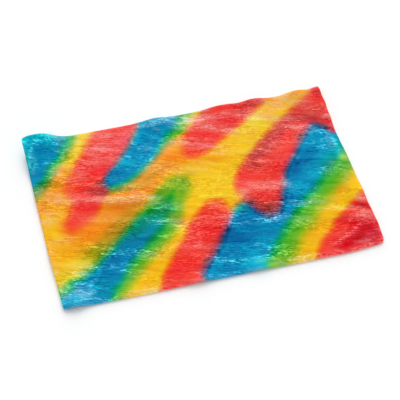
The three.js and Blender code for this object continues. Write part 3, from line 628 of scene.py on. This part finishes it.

# %% Painted highlight strokes
# Each is how bright, how wide in millimetres, then the points it runs through. They are painted highlights
# on the tops of long wrinkles and the edges of folds.
PAINTED_HIGHLIGHT_STROKES = [
    # back left corner: round the fold, and beside the green
    (0.3, 0.3, (-64.6, 29.5), (-64.2, 33.5), (-63, 37.4), (-61.4, 40), (-60.2, 41.2)),
    (0.2, 0.2, (-60.2, 41.4), (-56.5, 41.8), (-53, 41.8)),
    (0.25, 0.7, (-64.2, 27), (-62.5, 29.5), (-62, 31.5)),
    (0.3, 0.5, (-52.6, 40.4), (-50.6, 39.4), (-49, 38.2)),
    (0.3, 0.6, (-52.4, 37), (-51, 35.6), (-49.6, 34.6)),
    (0.22, 0.5, (-58, 30.6), (-55.5, 30.2), (-53.8, 29.4)), (0.25, 0.5, (-56.5, 26.6), (-54, 27.4)),
    (0.4, 0.5, (-59.6, 23.4), (-57.6, 22.2)), (0.22, 0.5, (-58.8, 26), (-57.4, 25)),
    # end of the left red band
    (0.22, 0.6, (-52.5, 18.2), (-48, 16.6), (-44, 15)),
    (0.32, 0.6, (-43, 14.6), (-39, 13.2), (-36, 12.6), (-34, 10.6)), (0.24, 0.5, (-37.5, 13.6), (-35, 11.6)),
    (0.2, 0.5, (-36.6, 10.2), (-32, 10)),
    # blue wedge at the back
    (0.22, 0.5, (-20.5, 33.4), (-19.6, 32)), (0.3, 0.5, (-18, 30.2), (-16.2, 29.2)),
    (0.22, 0.5, (-21.4, 29.8), (-18.6, 29)), (0.28, 0.6, (-14, 28.2), (-11.6, 27.6), (-9, 28.6)),
    (0.28, 0.6, (-14.6, 25.4), (-12.2, 26.4), (-10.6, 27)), (0.26, 0.5, (-15.4, 22.2), (-13.4, 23.8)),
    (0.22, 0.5, (-17.4, 22), (-15.4, 21.4)), (0.24, 0.5, (-21.6, 20.4), (-19.6, 19.4), (-17.8, 19.2)),
    (0.22, 0.5, (-25, 26.6), (-22.8, 25.6)), (0.2, 0.5, (-8.4, 31.8), (-5.8, 32.6)),
    (0.3, 0.8, (-16.6, 42.2), (-11, 41), (-5, 41.2), (-1, 42.6)),
    (0.22, 0.7, (-8, 42), (-4, 43.4), (0, 43.6)), (0.2, 0.8, (0, 38.4), (2.4, 36.6)),
    # green top of the slanting band
    (0.35, 0.6, (-20.4, 1), (-18, 0), (-16.4, -1.6)), (0.24, 0.5, (-16, 7), (-14.2, 6), (-12.6, 5.6)),
    (0.35, 0.6, (-19.8, -5), (-16.4, -4.2), (-13, -5)), (0.3, 0.5, (-13.6, -6.4), (-10.8, -7.6)),
    (0.3, 0.6, (-24.2, -9), (-22.2, -9.8)), (0.35, 0.8, (-23, -10.6), (-19.6, -11), (-16.4, -11.6)),
    (0.28, 0.6, (-20.6, -12.8), (-17.6, -13.4), (-14.6, -14.6)), (0.3, 0.6, (-15.4, -14.4), (-11.6, -16.2)),
    (0.25, 0.5, (-22.2, -18.8), (-20, -19.4), (-18, -20)), (0.2, 0.5, (-13.4, -17), (-8.6, -18)),
    (0.2, 0.5, (-12.6, -19), (-8.2, -20.2)),
    # lower part of the slanting band
    (0.25, 0.5, (-50.4, -16), (-46.2, -18), (-43, -19.8), (-39.8, -21.2)),
    (0.15, 0.4, (-43, -16.8), (-38.8, -18)), (0.42, 0.6, (-45, -22), (-41, -23.2), (-36.8, -24)),
    (0.24, 0.5, (-47.4, -22), (-43, -23.2)), (0.3, 0.5, (-34.4, -24.8), (-31.8, -25.8)),
    (0.5, 0.7, (-31.6, -24.2), (-29.2, -25), (-27, -25.8)), (0.3, 0.5, (-50.4, -27.6), (-46, -28.6)),
    (0.32, 0.5, (-45.4, -27.6), (-42.4, -28.6)), (0.28, 0.5, (-44.4, -29), (-39.8, -30.2)),
    (0.35, 0.5, (-38.2, -29.6), (-33, -30.8)), (0.5, 0.6, (-40, -31.8), (-36, -33.2)),
    (0.24, 0.5, (-36.2, -33.6), (-33, -34.4)), (0.32, 0.5, (-58, -32.4), (-54.4, -33.2), (-50.6, -34.2)),
    (0.3, 0.5, (-57.6, -34), (-54, -35), (-50.2, -36.2)), (0.3, 0.5, (-61, -35.2), (-57, -36.2)),
    (0.25, 0.7, (-60, -37.6), (-55, -38.2), (-51.2, -39.6)), (0.25, 0.6, (-58.6, -40), (-54, -40.4)),
    (0.45, 0.8, (-63.4, -36.6), (-64, -39), (-64.2, -42)), (0.35, 0.6, (-62.4, -37), (-61, -39)),
    (0.35, 0.5, (-60, -43.4), (-55, -42.5), (-51, -43.2), (-47, -44.4), (-44, -44.6)),
    # short red band in front
    (0.22, 0.5, (-8.2, -21), (-4.2, -22.4)), (0.2, 0.5, (-11, -23), (-7.8, -23.8)),
    (0.24, 0.6, (-10, -27.4), (-5, -28.8)), (0.2, 0.5, (-12.4, -30.6), (-8.4, -31.6)),
    (0.3, 0.5, (-3.2, -34.6), (1, -36)), (0.36, 0.5, (-4, -36.2), (0, -37.2)),
    (0.42, 0.6, (-5.8, -37.4), (-4.2, -38)), (0.25, 0.9, (-10.8, -40.4), (-9.4, -44.2)),
    (0.36, 0.5, (-8, -43), (-3, -43.8), (0, -44.2), (5, -44.8)),
    # lobe and fold in front
    (0.42, 0.7, (10.2, -14.6), (9.2, -16.6), (8.4, -18.6)), (0.3, 0.5, (10.6, -16.8), (12.4, -16)),
    (0.36, 0.5, (8.4, -19.6), (12, -20.4), (16.2, -21.3)),
    (0.45, 0.8, (18, -20.6), (22, -21.6), (25.4, -21.4), (29, -21.2)), (0.35, 0.6, (20, -21.8), (26, -23)),
    (0.3, 0.5, (20.6, -17.6), (24.6, -18.6), (29, -19.4), (31, -20.6)),
    (0.4, 0.5, (30, -21.4), (35.2, -22.2)), (0.24, 0.5, (24, -12.4), (28, -12.8), (31.2, -14)),
    (0.26, 0.5, (30, -14.4), (33.2, -15.4)), (0.36, 0.5, (34.8, -13.8), (37.2, -14.6)),
    (0.32, 0.5, (35.4, -16.6), (38, -17.2)), (0.3, 0.6, (37.8, -15.6), (42.2, -16.6)),
    (0.55, 0.6, (-1.2, -36.6), (2.2, -38), (6, -39)),
    (0.42, 0.5, (8, -38.6), (12, -39), (16, -39.1), (19.4, -39)), (0.55, 0.6, (18.8, -36.4), (20.8, -37.6)),
    (0.32, 0.5, (20, -34.9), (23.2, -35.8)), (0.4, 0.5, (16.6, -39.9), (20.4, -41)),
    (0.3, 0.5, (22, -38.6), (26.4, -39.8)), (0.22, 0.5, (15, -32.4), (18, -33.2)),
    (0.25, 0.5, (27.6, -28.4), (30, -29.2)),
    # right side
    (0.34, 0.9, (54, 20.8), (57, 21.2), (59.6, 20.2)),
    (0.4, 0.6, (58.6, 19.4), (61.2, 17.2), (62.4, 13.6), (61.8, 10.4)), (0.3, 0.5, (49.8, 14.8), (53.2, 14)),
    (0.32, 0.5, (54.4, 12.6), (57.6, 11.6)), (0.32, 0.5, (57.6, 15.2), (61.2, 14.4)),
    (0.3, 0.5, (56.8, 10.7), (60.4, 10)), (0.3, 0.5, (42.8, 9.2), (44.8, 8.2)),
    (0.32, 0.7, (35.4, -1.2), (36.6, -3.2), (35.4, -6.4)), (0.34, 0.6, (52.6, -0.4), (54.8, 0.6)),
    (0.34, 0.5, (51.6, -2.6), (53.2, -2.9)), (0.28, 0.7, (56.2, -1.4), (59.4, -0.4)),
    (0.22, 0.6, (60.6, 2), (62.4, 4.6)), (0.22, 0.6, (25.6, 11.2), (30.4, 9.4), (34, 8)),
    (0.2, 0.5, (30.6, 16.6), (34.4, 15)), (0.16, 0.5, (33, 21.6), (38, 19.6)),
    (0.2, 0.6, (44, 26.6), (50, 25), (55, 24)), (0.14, 0.5, (55, 34.8), (61, 33)),
    # front right corner
    (0.15, 0.6, (45.2, -40.2), (47.6, -39.4)),
    (0.28, 0.7, (47.6, -39.2), (50.4, -37.6), (53.4, -35.8), (56, -34.2)),
    (0.3, 0.6, (56, -34.2), (57.6, -33.2), (60, -32.2), (63.4, -33.4)),
    (0.24, 0.6, (54.4, -30), (58, -30.8), (61.6, -32.4)),
    (0.26, 0.5, (51, -44.7), (58.6, -43.6), (63.4, -42.6)),
    (0.26, 0.5, (64.4, -36), (64.6, -39), (64.4, -42)), (0.28, 0.4, (36, -43.6), (44, -44.4), (47, -44.6)),
]
print("bright strokes:", len(PAINTED_HIGHLIGHT_STROKES))

# %% Places with painted glints
# Each is how much, then the spot. White glints are painted there on the tops of tiny wrinkles.
PAINTED_GLINT_SPOTS = [
    (0.5, -18, -6, 8, 2.2, -14), (0.6, -17, -12, 7, 2.4, -14), (0.25, -13, 28, 8, 4, 40),
    (0.15, -22, 22, 7, 3, 40), (0.6, -57, -38, 7, 5, -20), (0.35, -47, -27, 8, 3, 20),
    (0.45, 24, -21.5, 7, 2.2, -12), (0.4, 57, 18, 6, 5), (0.5, 61, -2, 5, 3), (0.35, 21, -38, 5, 3),
    (0.4, 8, -15, 3, 4, -30), (0.35, -30, 12, 6, 1.6, -10), (0.15, -38, 17, 9, 5), (0.15, -6, -24, 9, 6, 40),
    (0.12, 30, 36, 14, 8, -20), (0.12, 45, 25, 12, 8, 30), (0.12, -63.4, 32, 1.4, 7),
    (0.15, -56, 39.6, 8, 1.2, -5), (0.25, 36, 2, 8, 3, 50), (0.2, -30, -30, 10, 4, 40),
    (0.3, 2, -39, 10, 1.6, -3), (0.4, -34, -23, 9, 1.4, -14), (0.15, 5, 36, 10, 6), (0.1, -35, 37, 12, 8),
]
print("places that glitter:", len(PAINTED_GLINT_SPOTS))

# %% [markdown]
# ## Spreading the dyes
#
# Wet dye creeps along wrinkles, so no border is clean. The outlines are read at places shifted to and fro
# along the draw direction by a little noise, which frays them.
# Blue lies in two steps, a thin fringe round a dense heart, and yellow gives way before it, early and then
# fully. That leaves green between them. Deep blue pushes out the red too, and red hides some yellow.

# %% Spread the blue, and thin the yellow
FRINGE = 0.24
HEART = 0.46
EARLY_SHARE = 0.42
fibre = 0.35 * drawn_noise(7, 1.0, 1) + 0.6 * drawn_noise(15, 2.1, 2)
dye_x = x + fibre * math.cos(DRAW_ANGLE)
dye_y = y + fibre * math.sin(DRAW_ANGLE)
blue = np.zeros(count)
yellow = np.ones(count)


def mossy(green):
    """1 where blue bleeds a little into orange, which makes a dark moss green, and 0 elsewhere."""
    return rise(green, 0.08, 0.28) * (1 - rise(green, 0.45, 0.75))


for corners in BLUE_POOLS:
    depth, green = depth_and_bleed(dye_x, dye_y, corners)
    depth = depth - 0.8 + 0.8 * rise(green, 0, 0.25)
    fringe = FRINGE * rise(depth, -3.6 - 4.4 * green ** 3, 0.8)
    heart = HEART * rise(depth, -1.3 + 1.9 * green, 2.2 + 3.4 * green)
    blue = np.maximum(blue, fringe + heart)
    early = rise(depth, -6 - green, green)
    delay = 1.2 * mossy(green)
    late = rise(depth, -5 + 5.3 * green + delay, 0.2 + 6.6 * green + delay)
    yellow = np.minimum(yellow, 1 - EARLY_SHARE * early - (1 - EARLY_SHARE) * late)
print("share of the sheet in blue:", round(float((blue > 0.3).mean()), 2))

# %% Spread the red
HIDDEN_BY_RED = 0.68


def filled(corners):
    """1 inside an outline and 0 outside it, soft over the border's width."""
    depth, border = depth_and_bleed(dye_x, dye_y, corners)
    return rise(depth, -0.5 * border, 0.5 * border)


red = np.max([filled(corners) for corners in RED_POOLS], axis=0)
faint = np.max([strength * filled(corners) for strength, corners in ORANGE_POOLS], axis=0)
red = red * (1 - 0.8 * rise(blue, 0.4, 0.66))
red = red + faint * (1 - red) * (1 - 0.85 * rise(blue, 0.18, 0.6))
# Later this also holds the painted sheen, painted highlights, painted glints and painted glow.
dyes_and_painted_light = {"yellow": yellow * (1 - HIDDEN_BY_RED * red), "red": red, "blue": blue}
print("share of the sheet in red:", round(float((red > 0.5).mean()), 2))

# %% Correct single places, and make the gel uneven
THICKNESS_VARIES = 0.28
streak = drawn_noise(11, 2.2, 5) + drawn_noise(5, 1.3, 6)


def spots(listed):
    """Adds up soft spots, each times its amount."""
    return sum(amount * spot(dye_x, dye_y, *where) for amount, *where in listed)


for dye in dyes_and_painted_light:
    corrected = dyes_and_painted_light[dye] * (1 + spots(RICHER[dye])) + spots(TRACES[dye])
    dyes_and_painted_light[dye] = np.maximum(corrected * (1 + THICKNESS_VARIES * streak), 0)
print("thickness of the gel varies by", round(float(THICKNESS_VARIES * streak.std()), 3))

# %% Painted sheen
# The cut edges get a paler rim, a painted highlight. The painted sheen is held back over deep blue.
BASE_PAINTED_SHEEN = 0.005
RIM_PAINTED_SHEEN = 0.06
rim = np.maximum(0.4 * rise(abs(x), 62.5, 66), rise(abs(y), 42, 45.5))
# Painted sheen: a little everywhere, a painted highlight along the cut edges, and the listed spots.
veil = BASE_PAINTED_SHEEN + RIM_PAINTED_SHEEN * rim + spots(PAINTED_SHEEN_SPOTS)
veil = np.maximum(veil - 0.03 * rise(blue, 0.35, 0.6), 0)
dyes_and_painted_light["veil"] = veil * (1 - 0.9 * streak) * (1 - 0.6 * rise(blue, 0.15, 0.45))
print("veil up to", round(float(veil.max()), 2))

# %% Painted highlight strokes, painted glints and painted glow
# The raised lip and the front cut edge get a painted glow in the gel's colour, as if light from behind came
# through them.
LIP_GLOW = 0.55
FRONT_GLOW = 0.35
# Painted highlights along the strokes, strongest on each line and fading over its width.
strokes = np.zeros(count)
for bright, width, *points in PAINTED_HIGHLIGHT_STROKES:
    near = 1 - np.clip(distance_to_line(x, y, points) / (1.2 * width + 0.6), 0, 1)
    strokes = np.maximum(strokes, bright * near)
dyes_and_painted_light["stroke"] = strokes
raised = 0.4 * rise(places[:, 2], 1.0, 2.4) + 0.6 * rise(places[:, 2], 2.2, 4.6)
lip = raised * rise(-x, 48, 54) * rise(y, 33, 40)
facing_front = rise(-normals[:, 1], 0.3, 0.9)
# Painted glow, fed to emission, on the lip and the front cut edge.
dyes_and_painted_light["glow"] = np.maximum(LIP_GLOW * lip, FRONT_GLOW * facing_front)
# Painted glints, faint everywhere and stronger in the listed places.
dyes_and_painted_light["glitter"] = 0.003 + spots(PAINTED_GLINT_SPOTS)
print("share of the sheet under strokes:", round(float((strokes > 0.05).mean()), 3))

# %% Store the values on the vertices
for name, values in dyes_and_painted_light.items():
    layer = fine_mesh.attributes.new("dye_" + name, "FLOAT", "POINT")
    layer.data.foreach_set("value", values.astype(np.float32))
    print("dye", name, "from", round(float(values.min()), 2), "to", round(float(values.max()), 2))
drawn_place = np.stack([drawn_along, drawn_across, places[:, 2]], 1)
layer = fine_mesh.attributes.new("drawn_place", "FLOAT_VECTOR", "POINT")
layer.data.foreach_set("vector", drawn_place.ravel().astype(np.float32))

# %% [markdown]
# ## Shader maths
#
# A dye doesn't add light, it takes light away, and twice as much dye takes the same share again. That is an
# exponential for red, green and blue light each. Written with nodes it is a thicket, so one small class
# wraps a socket and lets Python's own operators add the Math nodes.

# %% A socket that can be calculated with
class Value:
    """A shader socket that holds a number and can be used in Python expressions."""

    def __init__(self, tree, socket):
        self.tree = tree
        self.socket = socket

    def math(self, operation, *others, swap=False):
        terms = [self, *others]
        if swap:
            terms.reverse()
        return node(self.tree, "ShaderNodeMath", {"operation": operation}, dict(enumerate(terms)))

    def __add__(self, other):
        return self.math("ADD", other)

    def __radd__(self, other):
        return self.math("ADD", other)

    def __sub__(self, other):
        return self.math("SUBTRACT", other)

    def __rsub__(self, other):
        return self.math("SUBTRACT", other, swap=True)

    def __mul__(self, other):
        return self.math("MULTIPLY", other)

    def __rmul__(self, other):
        return self.math("MULTIPLY", other)

    def clamped(self):
        return node(self.tree, "ShaderNodeClamp", {}, {"Value": self})

    def exponential(self):
        return self.math("EXPONENT")

    def at_most(self, other):
        return self.math("MINIMUM", other)


def node(tree, kind, settings, inputs, output=0):
    """Adds one node: its settings first, then its sockets from values or links. Gives back one output."""
    made = tree.nodes.new(kind)
    for name, value in settings.items():
        setattr(made, name, value)
    for name, value in inputs.items():
        if isinstance(value, Value):
            tree.links.new(value.socket, made.inputs[name])
        else:
            made.inputs[name].default_value = value
    return Value(tree, made.outputs[output])


# %% [markdown]
# ## The gel's finish
#
# The colour comes from the three dyes. Crowded blue dye swallows the last of the red light, which keeps
# deep blue pure. A pale sheen is painted over it in places, where the gel is also rougher. At the painted
# highlights, in the strokes and the glints, the dye is thinned as well as painted lighter, because a glint
# that is only brighter blue looks like paint, and a real one is nearly white.
# The gloss is that of a sticky sweet, a little uneven. The grain is short hairs and specks that come and go
# in patches: in its dips the dye is thicker and the colour is painted darker, as in shade, and on its crests
# the dye is thinner and the colour painted lighter. The finest wrinkles, too fine for the mesh, are a bump
# drawn out the same way as the real ones.

# %% Start the gel's material
gel_finish = bpy.data.materials.new("fruit_gel_finish")
gel_finish.use_nodes = True
tree = gel_finish.node_tree
shader = tree.nodes["Principled BSDF"]


def attribute(name):
    """One of the values stored on the vertices."""
    return node(tree, "ShaderNodeAttribute", {"attribute_name": name}, {}, output="Fac")


place = node(tree, "ShaderNodeAttribute", {"attribute_name": "drawn_place"}, {}, output="Vector")


def streaks(length, width, detail):
    """Noise drawn out along the gel, about 0.5, with streaks of a length and width in millimetres."""
    size = {"Vector": place, "Scale": (length, width, 2)}
    turned = node(tree, "ShaderNodeMapping", {"vector_type": "TEXTURE"}, size)
    look = {"Vector": turned, "Scale": 1.0, "Detail": detail, "Distortion": 0.25}
    return node(tree, "ShaderNodeTexNoise", {}, look)


def sharpened(value, gain, offset):
    """Steepens noise about 0 until it is mostly 0 or 1, so that soft noise turns into marks."""
    return (value * gain + offset).clamped()


long_streaks = streaks(9, 1.1, 2.0)
short_streaks = streaks(3.2, 0.6, 1.0)
specks = streaks(1.0, 0.36, 0.0)
hairs = streaks(2.6, 0.30, 0.0)
patches = streaks(13, 5, 0.0)
print("patterns take", len(tree.nodes), "nodes")

# %% Marks made from the patterns
rough = ((patches - 0.36) * 3.6).clamped()
grain_and_painted_shade = (0.7 * hairs + 0.6 * specks - 0.65) * (0.2 + 0.9 * rough)
drawn = 0.55 * long_streaks + 0.45 * short_streaks
streaky = sharpened(drawn - 0.5, 7.0, 0.45)
grainy = sharpened(0.5 * specks + 0.5 * short_streaks - 0.5, 6.0, 0.45)
speckled = ((0.45 * specks + 0.55 * short_streaks - 0.55) * 7.0).clamped()
hairy = sharpened(0.6 * hairs + 0.4 * specks - 0.5, 9.0, 0.15)
glitter = attribute("dye_glitter")
# Painted glints and highlight strokes: light painted into the colour.
bright = 0.8 * glitter * speckled * streaky + 1.4 * attribute("dye_stroke") * hairy
# Painted sheen, with a white share of the painted glints added.
veil_amount = attribute("dye_veil") * (0.1 + 0.9 * streaky + 0.9 * grainy)
veil_amount = (veil_amount + 0.15 * bright).clamped()
mottle = 1.0 + 0.5 * (drawn - 0.5) - 1.25 * grain_and_painted_shade
# Under the painted glints the dye is thinned as well.
mottle = mottle * (1.0 - 0.9 * bright).clamped()
# Painted light and shade: the grain's crests are painted lighter and its dips darker, and the painted glints
# brighter.
shade = (1.0 + 0.55 * grain_and_painted_shade) * (1.0 + 0.9 * bright)
print("patterns and marks take", len(tree.nodes), "nodes")

# %% Colour
CLEAR_GEL = (0.93, 0.92, 0.90)
ABSORBED = {
    "yellow": (0.06, 0.56, 6.0),
    "red": (0.06, 2.9, 1.6),
    "blue": (6.5, 1.75, 0.85),
}
CROWDED_BLUE = 14.0
BRIGHTEST = 0.95
# The pale white that the painted sheen and painted glints mix towards.
PAINTED_SHEEN_WHITE = 0.92
dyes = {name: attribute("dye_" + name) for name in ABSORBED}
crowded = (CROWDED_BLUE * dyes["blue"] * dyes["blue"], 0.0, 0.0)
channels = []
for channel, clear in enumerate(CLEAR_GEL):
    parts = (dyes[name] * amounts[channel] for name, amounts in ABSORBED.items())
    absorbed = sum(parts, crowded[channel]) * mottle
    tinted = (clear * (0 - absorbed).exponential() * shade).at_most(BRIGHTEST)
    # The painted sheen pulls the colour towards pale white.
    channels.append(tinted + veil_amount * (PAINTED_SHEEN_WHITE - tinted))
dyed = node(tree, "ShaderNodeCombineColor", {}, dict(enumerate(channels)))
tree.links.new(dyed.socket, shader.inputs["Base Color"])
print("with colour there are", len(tree.nodes), "nodes")

# %% Gloss, bump and glow
GLOSSIEST = 0.15
BUMP_HEIGHT = 0.14 * MM
roughness = (GLOSSIEST + 0.4 * veil_amount).clamped()
tree.links.new(roughness.socket, shader.inputs["Roughness"])
height = 0.7 * drawn + (0.1 + glitter) * 0.3 * grainy
bump = node(tree, "ShaderNodeBump", {}, {"Height": height, "Strength": 1.0, "Distance": BUMP_HEIGHT})
tree.links.new(bump.socket, shader.inputs["Normal"])
# Painted glow: the lip and the front cut edge emit the gel's own colour, standing in for light from behind.
glow = attribute("dye_glow")
glowing = {index: glow * channel for index, channel in enumerate(channels)}
shining = node(tree, "ShaderNodeCombineColor", {}, glowing)
tree.links.new(shining.socket, shader.inputs["Emission Color"])
shader.inputs["Emission Strength"].default_value = 1.0
shader.inputs["IOR"].default_value = 1.45
shader.inputs["Subsurface Weight"].default_value = 0.5
shader.inputs["Subsurface Radius"].default_value = (1.0, 0.7, 0.6)
shader.inputs["Subsurface Scale"].default_value = 1.0 * MM
fine_mesh.materials.append(gel_finish)
print("gel material has", len(tree.nodes), "nodes")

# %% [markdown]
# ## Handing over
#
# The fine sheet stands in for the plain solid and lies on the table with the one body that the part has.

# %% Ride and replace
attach(gel, "root")
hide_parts("fruit_leather_sheet")
